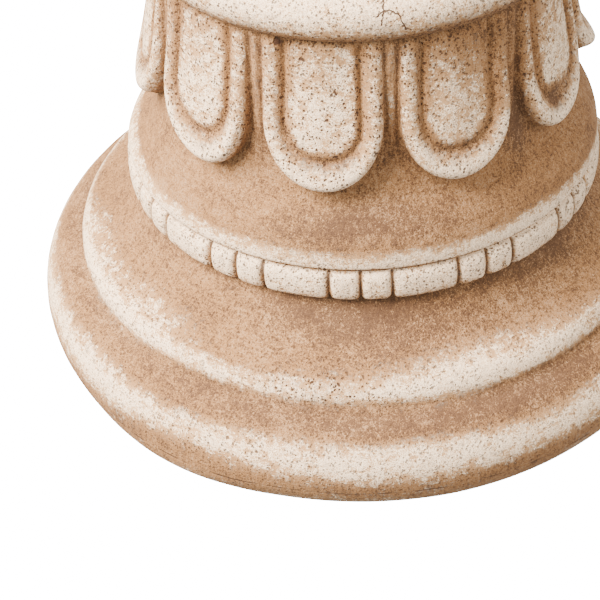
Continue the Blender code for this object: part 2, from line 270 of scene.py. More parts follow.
class StudioSettings(bpy.types.PropertyGroup):
    """The camera and the light of the studio."""

    focal_pixels: amount("Focal length", 1763, "In pixels of the picture")
    picture_pixels: IntProperty(name="Picture side", description="Side of the picture in pixels", default=600)
    distance: length("Camera distance", 0.6440, "From the axis, level")
    height: length("Camera height", 0.5486, "Over the ground")
    turn: angle("Turn", 46.1, "Camera's azimuth")
    pan: angle("Pan", -2.832, "Look to the side")
    tilt: angle("Tilt", 40.808, "Look down")
    roll: angle("Roll", 3.260, "Camera's roll")
    floor: colour("Floor", (0.94, 0.94, 0.94), "Colour of the floor")
    floor_glow: amount("Floor glow", 17.0, "Brightness of the lit floor")
    warmth: colour("Light", (1.0, 0.92, 0.82), "Colour of the soft lights")
    key: amount("Key light", 195.0, "Power in watts")
    fill: amount("Fill light", 26.0, "Power in watts")
    sky: amount("Room light", 1.0, "Brightness of the room")


def smooth(low, high, value):
    """0 below low, 1 above high, and an S between."""
    share = np.clip((value - low) / (high - low), 0.0, 1.0)
    return share * share * (3 - 2 * share)


def bump(middle, spread, value):
    """A rounded hill of height 1 round middle."""
    return np.exp(-((value - middle) / spread) ** 2)


def arc(centre, radii, start, end, steps):
    """Points of an elliptic arc in the (radius, height) plane, angles in degrees."""
    turn = np.radians(np.linspace(start, end, steps + 1))
    return np.stack([centre[0] + radii[0] * np.cos(turn), centre[1] + radii[1] * np.sin(turn)], 1)


def blend(start, bend, end, steps):
    """Points of a quadratic curve from start to end, led by bend."""
    share = np.linspace(0, 1, steps + 1)[:, None]
    start, bend, end = (np.array(p, float) for p in (start, bend, end))
    return (1 - share) ** 2 * start + 2 * share * (1 - share) * bend + share ** 2 * end


def straight(start, end, steps):
    """Points of a straight run from start to end."""
    return np.linspace(np.array(start, float), np.array(end, float), steps + 1)


def quarter(start, end, steps, level_first):
    """A quarter-round curve that leaves start level or upright."""
    bend = (end[0], start[1]) if level_first else (start[0], end[1])
    return blend(start, bend, end, steps)


def roll(face, proud, radius, base, steps):
    """A half-round roll that starts on an upright face at base and ends at its top."""
    centre = face + proud - radius
    start = -math.acos((face - centre) / radius)
    return arc((centre, base - radius * math.sin(start)), (radius, radius), math.degrees(start), 90, steps)


class Rows:
    """A turned profile from the ground up: points with how worn and how dirty each row is, which also holds
    painted light and shade.
    """

    def __init__(self):
        self.points, self.wear, self.dirt_and_painted_shade = [], [], []

    def add(self, points, moulding, skip_first=True):
        """Add a moulding's points with how worn and how dirty they are, which also holds painted light and
        shade, less the first where it repeats the last.
        """
        first = 1 if skip_first and self.points else 0
        share = np.linspace(0, 1, len(points))
        for values, kept in zip(MOULDINGS[moulding], (self.wear, self.dirt_and_painted_shade)):
            knots = np.linspace(0, 1, len(values))
            kept.extend(np.interp(share, knots, values)[first:])
        self.points.extend(points[first:])

    def end(self):
        """The last point."""
        return self.points[-1]


def foot_rows(s):
    """Underside, the two rolls and the hollow above them."""
    rows = Rows()
    centre = (s.foot_radius - s.foot_roll, s.foot_roll - s.foot_sink)
    ground = -math.degrees(math.asin(centre[1] / s.foot_roll))
    contact = centre[0] + s.foot_roll * math.cos(math.radians(ground))
    rows.add(straight((0.0, 0.0), (contact, 0.0), steps=2), "underside")
    rows.add(arc(centre, (s.foot_roll, s.foot_roll), start=ground, end=66, steps=17), "foot roll")
    step_centre = (s.foot_radius - s.step_setback - s.step_roll, centre[1] + s.foot_roll + s.step_rise)
    step = arc(step_centre, (s.step_roll, s.step_roll), start=-6, end=56, steps=7)
    rows.add(straight(rows.end(), step[0], steps=1), "under the step")
    rows.add(step, "step")
    low = step[-1]
    high = (hollow_top(s), low[1] + s.hollow_height)
    bend = (high[0] + HOLLOW_BEND[0] * (low[0] - high[0]), low[1] + HOLLOW_BEND[1] * s.hollow_height)
    rows.add(blend(low, bend, high, steps=10), "hollow")
    return rows


def band_radius(s):
    """Radius of the band behind the blocks."""
    return s.collar_radius + s.bell_spread - s.edge_proud


def hollow_top(s):
    """Radius of the hollow where it meets the band."""
    return band_radius(s) - s.hollow_undercut


def band_rows(s, start):
    """The face of the blocks, the groove over them and the thin edge."""
    rows = Rows()
    radius = band_radius(s)
    face = radius + s.block_proud
    foot = (radius + BLOCK_FOOT * s.block_proud, start[1] + BLOCK_FOOT_RISE)
    rows.add(straight(start, foot, steps=1), "under the blocks")
    half = s.block_height / 2
    turn = np.radians(np.linspace(-BLOCK_SECTION["turn"], BLOCK_SECTION["turn"], BLOCK_SECTION["rows"]))
    inwards = 1 - np.abs(np.cos(turn)) ** BLOCK_SECTION["outwards"]
    upwards = np.sign(np.sin(turn)) * np.abs(np.sin(turn)) ** BLOCK_SECTION["upwards"]
    section = np.stack([face - s.block_proud * inwards, start[1] + half + half * upwards], 1)
    rows.add(section, "blocks", skip_first=False)
    groove = (radius + BAND_GROOVE_PROUD, start[1] + s.block_height + BAND_GROOVE_AT * s.groove_height)
    rows.add(straight(section[-1], groove, steps=2), "groove over the blocks")
    edge = radius + s.edge_proud
    top = start[1] + s.block_height + s.groove_height
    edge_foot = (edge - 2 * s.edge_round, top)
    rows.add(straight(groove, edge_foot, steps=1), "under the edge")
    edge_middle = (edge, top + s.edge_height / 2)
    rows.add(quarter(edge_foot, edge_middle, steps=3, level_first=True), "edge")
    return rows


def bell_rows(s, start):
    """The dome of the bell."""
    rows = Rows()
    centre = (start[0] - s.bell_depth, start[1])
    rows.add(arc(centre, (s.bell_depth, s.bell_height), start=0, end=BELL_END, steps=10), "bell")
    return rows


def collar_rows(s, start):
    """The cove and the face between the tongues."""
    rows = Rows()
    top = (s.collar_radius + s.collar_taper, start[1] + s.cove_height)
    bell_end = math.radians(BELL_END)
    lean = s.bell_depth * math.sin(bell_end) / (s.bell_height * math.cos(bell_end))
    bend = (top[0], start[1] + (start[0] - top[0]) / lean)
    rows.add(blend(start, bend, top, steps=34), "cove")
    head = (s.collar_radius, top[1] + s.collar_height)
    rows.add(straight(top, head, steps=23), "collar")
    return rows


def upper_rows(s, start):
    """The ring over the tongues, then the shaft, the neck and the round capital."""
    rows = Rows()
    rows.add(roll(s.collar_radius, s.ring_proud, s.ring_roll, start[1], steps=14), "ring")
    add_shaft(rows, s)
    add_capital(rows, s)
    return rows


def add_shaft(rows, s):
    """The shaft from the ring up, with the neck ring and the neck."""
    start = rows.end()
    foot = (s.shaft_foot, start[1] + s.shaft_cove)
    rows.add(quarter(start, foot, steps=3, level_first=True), "shaft's cove")
    share = np.linspace(0, 1, SHAFT_ROWS)
    swell = s.shaft_swell * np.sin(math.pi * share)
    radius = s.shaft_foot + (s.shaft_head - s.shaft_foot) * share + swell
    shaft = np.stack([radius, foot[1] + s.shaft_height * share], 1)
    rows.add(shaft, "shaft")
    ring = roll(s.shaft_head, s.neck_proud, s.neck_roll, shaft[-1][1], steps=7)
    rows.add(ring, "neck ring")
    neck = (s.shaft_head, ring[-1][1])
    neck_top = (s.shaft_head, ring[-1][1] + s.neck_height)
    rows.add(straight(ring[-1], neck, steps=1), "over the neck ring")
    rows.add(straight(neck, neck_top, steps=2), "neck")


def add_capital(rows, s):
    """The bell of the capital, its edge, the cove and the plate with the flat top."""
    neck_top = rows.end()
    bell = s.shaft_head + s.capital_spread
    middle = ((s.shaft_head + bell) / 2, neck_top[1] + s.capital_height / 2)
    bell_top = (bell, neck_top[1] + s.capital_height)
    rows.add(quarter(neck_top, middle, steps=5, level_first=False), "capital's bell")
    rows.add(quarter(middle, bell_top, steps=6, level_first=True), "capital's lip")
    edge_foot = (bell + s.capital_edge, bell_top[1])
    edge_top = (edge_foot[0], edge_foot[1] + s.capital_edge_height)
    cove_foot = (bell, edge_top[1])
    rows.add(straight(bell_top, edge_foot, steps=1), "under the capital's edge")
    rows.add(straight(edge_foot, edge_top, steps=2), "capital's edge")
    rows.add(straight(edge_top, cove_foot, steps=1), "over the capital's edge")
    plate_foot = (edge_top[0] + s.plate_proud - s.plate_roll, edge_top[1] + s.capital_cove)
    rows.add(quarter(cove_foot, plate_foot, steps=4, level_first=False), "capital's cove")
    centre = (plate_foot[0], plate_foot[1] + s.plate_roll)
    rows.add(arc(centre, (s.plate_roll, s.plate_roll), start=-90, end=60, steps=10), "plate's side")
    corner = rows.end()
    rim = (corner[0] - s.plate_edge, corner[1] + s.plate_edge)
    rows.add(quarter(corner, rim, steps=3, level_first=False), "plate's rim")
    rows.add(straight(rim, (0.0, rim[1]), steps=4), "plate")


def plain(grid, s):
    """A turned zone: every point keeps its row's radius."""
    return grid


# Shares of a zone's height over which its columns come back to even places at its lower and upper end.
ENDS_FADE = (0.10, 0.12)
CROWDING_STEPS = 4001


def rows_inside(count):
    """1 for the rows inside a zone, and 0 for its first and last row, where it meets its neighbours."""
    share = np.linspace(0, 1, count)[:, None]
    return smooth(0.0, ENDS_FADE[0], share) * smooth(0.0, ENDS_FADE[1], 1 - share)


def crowd_columns(grid, places, pull, spread):
    """Move a grid's evenly spaced columns closer together near the given azimuths, with the ends kept."""
    even = grid["azimuth"][0]
    fine = np.linspace(even[0], even[-1], CROWDING_STEPS)
    density = 1 + pull * sum(bump(place, spread, fine) for place in places)
    reach = np.concatenate([[0], np.cumsum((density[1:] + density[:-1]) / 2)])
    share = np.linspace(0, 1, len(even)) * reach[-1]
    crowded = np.interp(share, reach, fine)
    inside = rows_inside(len(grid["azimuth"]))
    grid["azimuth"] = grid["azimuth"] + (crowded[None, :] - grid["azimuth"]) * inside


def cut_blocks(grid, s):
    """Part the band into one long block and two halves of the short pair, with rounded corners."""
    radius = band_radius(s)
    half_turn = math.pi / s.repeats
    half_long = half_turn - s.short_block / radius
    joints = (-half_turn, -half_long, half_long, half_turn)
    crowd_columns(grid, joints, pull=3.0, spread=math.radians(0.9))
    away = np.min([np.abs(grid["azimuth"] - joint) for joint in joints], axis=0) * radius
    low, high = (radius + share * s.block_proud for share in BLOCK_FLANK)
    on_block = smooth(low, high, grid["radius"])
    on_block = on_block * (grid["height"] < grid["height"][0, 0] + s.block_height + s.groove_height / 2)
    corner = bump(0, CORNER_REACH * s.joint_width, away)
    joint = bump(0, JOINT_REACH * s.joint_width, away)
    grid["radius"] = grid["radius"] - on_block * JOINT_SHARE * s.joint_depth * (corner + joint)
    grid["wear"] = grid["wear"] * (1 - JOINT_WEAR * joint * on_block)
    grid["dirt_and_painted_shade"] = np.maximum(grid["dirt_and_painted_shade"], JOINT_DIRT * joint * on_block)
    return grid


class Tongue:
    """Where one tongue lies on a grid of the collar: its heights, and how far inside it every place is."""

    def __init__(self, grid, s):
        foot = grid["height"][0, 0] + s.cove_height
        self.low = foot - s.tongue_drop
        self.top = foot + s.collar_height
        self.centre = self.low + s.tongue_round
        self.half_width = math.pi * s.collar_radius / s.tongues - s.tongue_gap / 2
        insets = (REACH["columns"], s.rim_width)
        edges = [side * (self.half_width - inset) / s.collar_radius for side in (-1, 1) for inset in insets]
        crowd_columns(grid, edges, pull=1.3, spread=REACH["crowding"] / s.collar_radius)
        across = np.abs(grid["azimuth"] * s.collar_radius)
        self.measure(across, grid["height"], s)
        gap = self.half_width + s.tongue_gap / 2 - across
        starts, full = (self.low + rise for rise in DART_RISE)
        rise = smooth(starts, full, grid["height"])
        self.dart = (1 - np.clip(2 * gap / s.dart_width, 0, 1) ** 2) ** 2 * rise
        self.dart[-1] = 0

    def measure(self, across, height, s):
        """How far each place lies inside the tongue's outline, and how much it is at the lower end."""
        stretch = s.rim_foot / s.rim_width
        below = np.maximum(self.centre - height, 0.0) / s.tongue_round
        side = across / self.half_width
        turn = np.arctan2(below, np.maximum(side, TINY))
        run = np.hypot(self.half_width * np.cos(turn), s.tongue_round / stretch * np.sin(turn))
        self.inset = (1 - np.hypot(below, side)) * run
        self.lower = np.sin(turn)


def raise_tongue(grid, s):
    """Raise one tongue on the collar: its rim, the groove inside it and its crowned panel."""
    tongue = Tongue(grid, s)
    inset = tongue.inset
    lip = tongue.low + s.rim_foot / 2
    flare = np.clip((tongue.top - grid["height"]) / (tongue.top - lip), 0, MOST_FLARE) ** FLARE_BEND
    crest = s.collar_radius + s.top_proud + (s.lip_proud - s.top_proud) * flare
    crest_at = s.rim_width / 2
    outer = np.sqrt(1 - (1 - np.clip(inset / crest_at, 0, 1)) ** 2)
    fall = GROOVE_ROUND * np.clip((inset - crest_at) / (s.groove_at - crest_at), 0, 1)
    inner = s.groove_depth * (1 - np.sqrt(1 - fall ** 2)) / (1 - math.sqrt(1 - GROOVE_ROUND ** 2))
    panel = smooth(s.groove_at, s.panel_edge, inset) * (s.groove_depth - s.panel_sink)
    crown = s.panel_crown * smooth(s.panel_edge, tongue.half_width, inset)
    fade = smooth(0.0, REACH["face"], inset)
    base = grid["radius"]
    raised = base + outer * (crest - base) + fade * (panel + crown - inner)
    raised[-1] = base[-1]
    grid["radius"] = raised + s.dart_proud * tongue.dart
    paint_tongue(grid, tongue, s)
    return grid


def paint_tongue(grid, tongue, s):
    """Rub the rim and the panel, make the groove and the flank dirty, and paint the ring's shadow on the
    tongue's top.
    """
    inset, lower, height = tongue.inset, tongue.lower, grid["height"]
    down = smooth(tongue.top, tongue.low, height)
    rim = RIM_WEAR["all"] + RIM_WEAR["lower end"] * lower + RIM_WEAR["downwards"] * down
    rim = rim * bump(s.rim_width / 2, s.rim_width / 2, inset)
    far_down = smooth(tongue.top - REACH["panel's top"], tongue.centre - REACH["panel's top"], height)
    panel = PANEL_WEAR["all"] + PANEL_WEAR["downwards"] * far_down
    panel = panel * smooth(s.groove_at, s.panel_edge + REACH["panel's edge"], inset)
    # Painted shadow of the ring over the tongue's top: less wear and more dirt.
    ring_shadow = smooth(tongue.top - REACH["under the ring"], tongue.top, height)
    wear = np.clip(rim + panel + RING_SHADOW_WEAR * ring_shadow, 0, 1)

    groove = GROOVE_DIRT["all"] + GROOVE_DIRT["lower end"] * lower
    groove_reach = REACH["groove"] + REACH["groove's lower end"] * lower
    groove = groove * bump(s.groove_at - REACH["groove's side"], groove_reach, inset)
    flank = bump(0.0, REACH["flank"], inset)
    dirt_and_painted_shade = np.clip(groove + FLANK_DIRT * flank + RING_SHADOW_DIRT * ring_shadow, 0, 1)

    on_tongue = smooth(0.0, REACH["paint"], inset)
    grid["wear"] = np.maximum(grid["wear"] * (1 - on_tongue) + wear * on_tongue, DART_WEAR * tongue.dart)
    grid["dirt_and_painted_shade"] = np.maximum(grid["dirt_and_painted_shade"], FACE_DIRT * flank)
    grid["dirt_and_painted_shade"] = grid["dirt_and_painted_shade"] * (1 - on_tongue) + dirt_and_painted_shade * on_tongue
    grid["dirt_and_painted_shade"] = grid["dirt_and_painted_shade"] * (1 - DART_CLEAN * tongue.dart)
    grid["pitting"] = np.maximum(grid["pitting"], on_tongue)


def thin_ends(grid):
    """On the first and last row, lay every second column on its neighbour, so that a coarser zone fits."""
    for row in (0, -1):
        for values in grid.values():
            values[row, 1::2] = values[row, 0:-1:2]


def sector_mesh(name, rows, copies, columns, shape_relief, s):
    """One sector of a zone as a mesh whose points carry how worn, dirty and pitted they are, with painted
    light and shade in the first two.
    """
    points = np.array(rows.points)
    azimuth = np.linspace(-math.pi / copies, math.pi / copies, columns // copies + 1)
    spread = np.ones((len(points), len(azimuth)))
    grid = {
        "azimuth": azimuth[None, :] * spread,
        "radius": points[:, :1] * spread,
        "height": points[:, 1:] * spread,
        "wear": np.array(rows.wear)[:, None] * spread,
        "dirt_and_painted_shade": np.array(rows.dirt_and_painted_shade)[:, None] * spread,
        "pitting": ZONE_PITTING[name] * spread,
    }
    grid = shape_relief(grid, s)
    if columns > COARSE:
        thin_ends(grid)
    x = grid["radius"] * np.sin(grid["azimuth"])
    y = -grid["radius"] * np.cos(grid["azimuth"])
    vertices = np.stack([x, y, grid["height"]], -1).reshape(-1, 3)
    index = np.arange(len(vertices)).reshape(spread.shape)
    faces = np.stack([index[:-1, :-1], index[:-1, 1:], index[1:, 1:], index[1:, :-1]], -1).reshape(-1, 4)
    mesh = bpy.data.meshes.new(name)
    mesh.from_pydata(vertices.tolist(), [], faces.tolist())
    for key in PAINT:
        values = mesh.attributes.new(key, "FLOAT", "POINT")
        values.data.foreach_set("value", grid[key].ravel().astype(np.float32))
    return mesh


def new_tree(name, inputs):
    """An empty Geometry Nodes tree with a geometry in and out and the named inputs."""
    tree = bpy.data.node_groups.new(name, "GeometryNodeTree")
    tree.is_modifier = True
    tree.interface.new_socket("Geometry", in_out="INPUT", socket_type="NodeSocketGeometry")
    for label, kind in inputs:
        tree.interface.new_socket(label, in_out="INPUT", socket_type="NodeSocket" + kind)
    tree.interface.new_socket("Geometry", in_out="OUTPUT", socket_type="NodeSocketGeometry")
    return tree, tree.nodes.new("NodeGroupInput"), tree.nodes.new("NodeGroupOutput")


def add_node(tree, kind, links=(), **settings):
    """Add a node, set its options, and feed its inputs from (input, socket or value) pairs."""
    node = tree.nodes.new(kind)
    for key, value in settings.items():
        setattr(node, key, value)
    for socket, source in links:
        if isinstance(source, bpy.types.NodeSocket):
            tree.links.new(source, node.inputs[socket])
        else:
            node.inputs[socket].default_value = source
    return node


def mix(tree, share, first, second):
    """Mix two colours and return the result's socket."""
    node = add_node(tree, "ShaderNodeMix", [(0, share), (6, first), (7, second)], data_type="RGBA")
    return node.outputs[2]


def maths(tree, operation, first, second=0.0, clamp=False):
    """One step of arithmetic; returns its socket."""
    node = add_node(tree, "ShaderNodeMath", [(0, first), (1, second)], operation=operation, use_clamp=clamp)
    return node.outputs[0]


def vector(tree, operation, first, second=(0, 0, 0)):
    """One step of arithmetic on places; returns its socket."""
    other = "Scale" if operation == "SCALE" else 1
    node = add_node(tree, "ShaderNodeVectorMath", [(0, first), (other, second)], operation=operation)
    return node.outputs["Value" if operation in ("LENGTH", "DISTANCE", "DOT_PRODUCT") else "Vector"]


def highest(tree, values):
    """The highest of several values; returns its socket."""
    top = values[0]
    for value in values[1:]:
        top = maths(tree, "MAXIMUM", top, value)
    return top


def remap(tree, value, low, high, to_low=0.0, to_high=1.0):
    """Map low..high to to_low..to_high in an S; returns its socket."""
    node = add_node(tree, "ShaderNodeMapRange", [
        ("Value", value), ("From Min", low), ("From Max", high), ("To Min", to_low), ("To Max", to_high),
    ], interpolation_type="SMOOTHSTEP")
    return node.outputs[0]


def repeat_tree():
    """Sets equal copies of a sector round the axis and welds them."""
    tree, given, out = new_tree(
        "Repeat round the axis", (("Copies", "Int"), ("Weld distance", "Float"), ("Stone", "Material"))
    )
    sector, copies, distance, stone = given.outputs[:4]
    index = add_node(tree, "GeometryNodeInputIndex").outputs[0]
    turn = maths(tree, "MULTIPLY", index, maths(tree, "DIVIDE", math.tau, copies))
    spin = add_node(tree, "ShaderNodeCombineXYZ", [("Z", turn)]).outputs[0]
    places = add_node(tree, "GeometryNodeMeshLine", [("Count", copies), ("Offset", (0, 0, 0))]).outputs[0]
    placed = add_node(tree, "GeometryNodeInstanceOnPoints", [
        ("Points", places), ("Instance", sector), ("Rotation", spin),
    ])
    loose = add_node(tree, "GeometryNodeRealizeInstances", [(0, placed.outputs[0])]).outputs[0]
    welded = add_node(tree, "GeometryNodeMergeByDistance", [("Geometry", loose), ("Distance", distance)])
    real = add_node(tree, "GeometryNodeRealizeInstances", [(0, welded.outputs[0])]).outputs[0]
    painted = add_node(tree, "GeometryNodeSetMaterial", [("Geometry", real), ("Material", stone)])
    tree.links.new(painted.outputs[0], out.inputs[0])
    return tree


def run_tree(item, tree, values):
    """Give an object's mesh to a tree with named inputs, and keep the result as a plain mesh."""
    modifier = item.modifiers.new(tree.name, "NODES")
    modifier.node_group = tree
    for socket in tree.interface.items_tree:
        if socket.item_type == "SOCKET" and socket.in_out == "INPUT" and socket.name in values:
            modifier[socket.identifier] = values[socket.name]
    evaluated = item.evaluated_get(bpy.context.evaluated_depsgraph_get())
    mesh = bpy.data.meshes.new_from_object(evaluated)
    item.modifiers.remove(modifier)
    return mesh


def add_piece(name, mesh):
    """Put a mesh into the scene as an object at the origin."""
    item = bpy.data.objects.new(name, mesh)
    bpy.context.scene.collection.objects.link(item)
    return item


def join_zones(name, meshes):
    """Join the zones of the casting into one closed mesh."""
    whole = bmesh.new()
    for mesh in meshes:
        whole.from_mesh(mesh)
        bpy.data.meshes.remove(mesh)
    bmesh.ops.remove_doubles(whole, verts=whole.verts, dist=WELD)
    bmesh.ops.recalc_face_normals(whole, faces=whole.faces)
    mesh = bpy.data.meshes.new(name)
    whole.to_mesh(mesh)
    whole.free()
    return mesh


def points_of(mesh):
    """Positions of a mesh's points as an array."""
    values = np.empty(len(mesh.vertices) * 3, np.float32)
    mesh.vertices.foreach_get("co", values)
    return values.reshape(-1, 3).astype(float)


NOISE_STEPS = (13.7, 7.1, 3.3)


def wander(points, size, seed):
    """Slow noise from -1 to 1 with features of about the given size."""
    shift = Vector([seed * step for step in NOISE_STEPS])
    return np.array([noise.noise(Vector(point) / size + shift) for point in points])


# Uneven places of the casting: azimuth in degrees, height in mm, reach in both, and how far out in mm.
UNEVEN = (
    (-54, 109, 55, 10, -4.0),
    (-54, 116, 300, 9, -2.2),
    (144, 141, 13, 17, 2.4),
    (-48, 114, 30, 10, -3.4),
    (138, 131, 16, 6, 3.4),
    (142, 162, 14, 18, 1.0),
    (20, 14, 12, 12, 1.0),
    (10, 8, 15, 7, 2.4),
    (60, 8, 60, 7, 0.9),
    (92, 137, 9, 12, 1.2),
    (113, 113, 9, 9, 1.5),
)
# Where the mould ran askew: azimuth, height, reach in both, and the turn in degrees.
ASKEW = (
    (0, 131, 13, 16, 3.2),
    (36, 150, 12, 30, 0.5),
    (72, 145, 14, 34, -1.4),
    (96, 150, 9, 30, -0.8),
    (108, 130, 12, 14, -2.5),
)


# Waves of the surface: share, size in metres and seed.
WAVES = ((0.6, 0.055, 1), (0.4, 0.016, 2))
# The blocks and the thin edge stay true: uneven places end at their height and come back above them.
BAND_MIDDLE = 70 * MM
EDGE_FADE = (98 * MM, 102.5 * MM)
# Points this close to the ground, to the top or to the axis stay where they are.
GROUND_KEPT = 0.02 * MM
TOP_KEPT = 0.3 * MM
AXIS_KEPT = 1 * MM


def spread_places(table, points, turns=(0,)):
    """The sum of hills over the casting, one for each line of a table; the last number is its height."""
    azimuth = np.degrees(np.arctan2(points[:, 0], -points[:, 1]))
    height = points[:, 2] / MM
    total = np.zeros(len(points))
    for middle, level, reach, rise, summit in table:
        for turn in turns:
            apart = (azimuth - middle - turn + 180) % 360 - 180
            total += summit * bump(0, reach, apart) * bump(level, rise, height)
    return total


def roughen(mesh, finish):
    """Give the casting its uneven places, and let its surface wander a little inwards."""
    points = points_of(mesh)
    radius = np.hypot(points[:, 0], points[:, 1])
    height = points[:, 2]
    wave = sum(share * wander(points, size, seed) for share, size, seed in WAVES)
    above_edge = np.where(height > BAND_MIDDLE, smooth(*EDGE_FADE, height), 1.0)
    outwards = finish.unevenness * (wave - 1.0) + spread_places(UNEVEN, points) * MM * above_edge
    flat = (height < GROUND_KEPT) | (height > NODE_HIGH[2] - TOP_KEPT)
    outwards[flat | (radius < AXIS_KEPT)] = 0.0
    turn = np.radians(spread_places(ASKEW, points))
    scale = 1 + outwards / np.maximum(radius, AXIS_KEPT)
    x, y = points[:, 0] * scale, points[:, 1] * scale
    points[:, 0] = x * np.cos(turn) - y * np.sin(turn)
    points[:, 1] = x * np.sin(turn) + y * np.cos(turn)
    mesh.vertices.foreach_set("co", points.astype(np.float32).ravel())
    mesh.update()


# Worn, stained and pitted places, with painted shade among the stained ones: azimuth in degrees, height in
# mm, reach in both, and what they add.
WORN = (
    (80, 99, 22, 4, 0.25),
    (72, 54, 17, 6, 0.50),
    (52, 52, 6, 4, 0.20),
    (39, 52, 8, 4, -0.15),
    (22, 53, 12, 5, -0.20),
    (-5, 55, 17, 6, 0.28),
    (-30, 54, 14, 8, 0.26),
    (62, 27, 22, 6, 0.25),
    (44, 26, 4, 5, 0.25),
    (18, 27, 10, 5, -0.25),
    (-8, 28, 12, 6, 0.10),
    (104, 142, 4, 5, -0.50),
    (88, 165, 24, 30, -0.15),
    (36, 178, 6, 9, -0.10),
)
STAINED_AND_SHADED = (
    (46, 112, 24, 12, 0.37),
    # Darker low in the gap between two tongues on the right.
    (93, 129, 4, 7, 0.50),
    (66, 204, 18, 8, 0.14),
    (46, 116, 13, 8, 0.34),
    (62, 112, 16, 9, 0.20),
    # Painted shade on the bell's side away from the key light.
    (92, 114, 20, 12, 0.08),
    (28, 107, 14, 7, 0.26),
    (46, 64, 26, 9, 0.37),
    (52, 41, 26, 4, 0.28),
    (30, 60, 22, 8, 0.06),
    # Darker in the gap between two tongues on the right, beside the side wall of the right one.
    (92, 138, 3, 12, 0.55),
    (44, 73, 17, 6, 0.45),
    (60, 66, 24, 9, 0.25),
    (98, 74, 18, 14, 0.42),
    (72, 53, 17, 5, -0.35),
    (39, 52, 8, 4, 0.26),
    # Darker in the valley over the foot, on the side away from the key light.
    (78, 41, 20, 5, 0.42),
    (46, 40, 18, 4, 0.24),
    (20, 41, 10, 4, 0.12),
    (104, 142, 4, 5, 0.60),
    (-46, 118, 8, 4, 0.10),
    # Darker along the gap between two tongues on the right.
    (89, 145, 2, 22, 0.12),
    (62, 27, 22, 6, -0.10),
)
PITTED = (
    (38, 52, 9, 4, 0.95),
    (-12, 55, 16, 7, 0.25),
    (20, 30, 16, 6, 0.25),
    (36, 145, 9, 16, 0.15),
    (74, 160, 11, 22, -0.30),
    (36, 180, 10, 8, -0.30),
    (40, 28, 40, 9, 0.22),
    (60, 54, 40, 7, 0.18),
    (108, 160, 11, 22, -0.30),
)
# The far side has the same places, this many degrees round.
FAR_SIDE = 167
# For each kind of paint its places, and how far slow noise sways it.
PLACES = {"wear": (WORN, 0.16), "dirt_and_painted_shade": (STAINED_AND_SHADED, -0.12), "pitting": (PITTED, 0.10)}
MOST_PAINT = 1.2


def weather(mesh):
    """Add the worn, stained and pitted places and the painted shade to the paint of the casting, on both
    sides of it.
    """
    points = points_of(mesh)
    slow = wander(points, size=0.045, seed=5)
    for key, (table, sway) in PLACES.items():
        more = spread_places(table, points, (0, FAR_SIDE)) + sway * slow
        values = np.empty(len(points), np.float32)
        mesh.attributes[key].data.foreach_get("value", values)
        values = np.clip(values + more, 0, MOST_PAINT).astype(np.float32)
        mesh.attributes[key].data.foreach_set("value", values)


NOISE_MIDDLE = 0.5
# Noises of the stone.
NOISES = {
    "broad": {"scale": 22.0, "detail": 4.0, "roughness": 0.6},
    "patchy": {"scale": 75.0, "detail": 6.0, "roughness": 0.68, "shift": (3, 1, 4)},
    "clumped": {"scale": 240.0, "detail": 4.0, "roughness": 0.7, "shift": (2, 6, 1)},
    "speckled": {"scale": 640.0, "detail": 3.0, "roughness": 0.75, "shift": (1, 5, 2)},
    "fibrous": {"scale": 800.0, "detail": 3.0, "roughness": 0.65, "stretch": (1, 1, 0.16), "curl": 0.6},
    "grain": {"scale": 1500.0, "detail": 2.0, "roughness": 0.7},
    "sand": {"scale": 2400.0, "detail": 1.0, "roughness": 0.5},
}
BRUSHED = {"across": 900.0, "along": 14.0}
# How much each noise counts in the ragged edge of the rubbed places.
RAGGED = {"patchy": 1.6, "clumped": 2.6, "speckled": 1.7, "grain": 1.4, "brushed": 1.1, "sand": 1.4}
# And in the wash that stays between their sand.
SANDY = {"sand": 1.0, "grain": 0.9}
# And in the tone of the patina.
TONE = {
    "broad": 1.3, "patchy": 1.2, "clumped": 0.9, "speckled": 0.9,
    "fibrous": 1.5, "brushed": 1.2, "grain": 1.9, "sand": 2.2,
}
# And in the dirt of the hollows and the painted shade.
DIRT_AND_SHADE_NOISE = {"patchy": 1.2, "clumped": 1.0, "speckled": 1.3, "fibrous": 1.5, "grain": 1.5, "sand": 1.2}
# And in the relief of the surface.
RELIEF = {
    "sand": 0.12, "grain": 0.24, "clumped": 0.35, "brushed": 0.18,
    "fibrous": 0.20, "speckled": 0.32, "patchy": 0.35,
}
# And in the height of the mould's seam, in metres.
SEAM_SWAY = {"broad": 2.5 * MM}
# Where each change in the stone starts and ends, then from what to what it goes.
CHANGES = {
    "ragged where worn": (0.0, 0.30, 0.30, 1.0),
    "rubbed": (0.28, 0.86),
    "rubbed sand": (-0.20, 0.08, 0.22, 1.0),
    "dark wash": (0.0, 0.85),
    "thin wash": (0.0, -0.85, 0.0, 0.12),
    "cream": (0.06, 0.66, 0.0, 0.72),
    "settled": (0.10, 0.98),
    "filled holes": (0.3, 0.9, 1.0, 0.4),
    "seam": (0.55 * MM, 0.15 * MM),
    "broken seam": (0.44, 0.56),
    "roughness": (0.2, 0.8, 0.80, 0.96),
}
# How far the stain colour covers the dirt and the painted shade.
DIRT_AND_SHADE_STRENGTH = 0.84
SEAM_STRENGTH = 0.75
HOLE_STRENGTH = 0.97
HOLE_DEPTH = 0.6
BUMP = {"Strength": 0.9, "Distance": 1.0 * MM}
# Air holes: cells in a metre, the share of them with a hole, its size in cells, and how dark it is.
SPECKS = ((900.0, 0.80, 0.52, 0.95), (520.0, 0.60, 0.38, 1.0), (300.0, 0.38, 0.27, 1.0))
SPECK_CORE = 0.55
# How far the holes are bent out of round, and the size of that bend.
SPECK_BEND = 1.1 * MM
SPECK_BEND_SCALE = 800.0
# Air holes that every place has, and what its pitting adds.
FEWEST_HOLES = 0.10
MORE_HOLES = 0.90


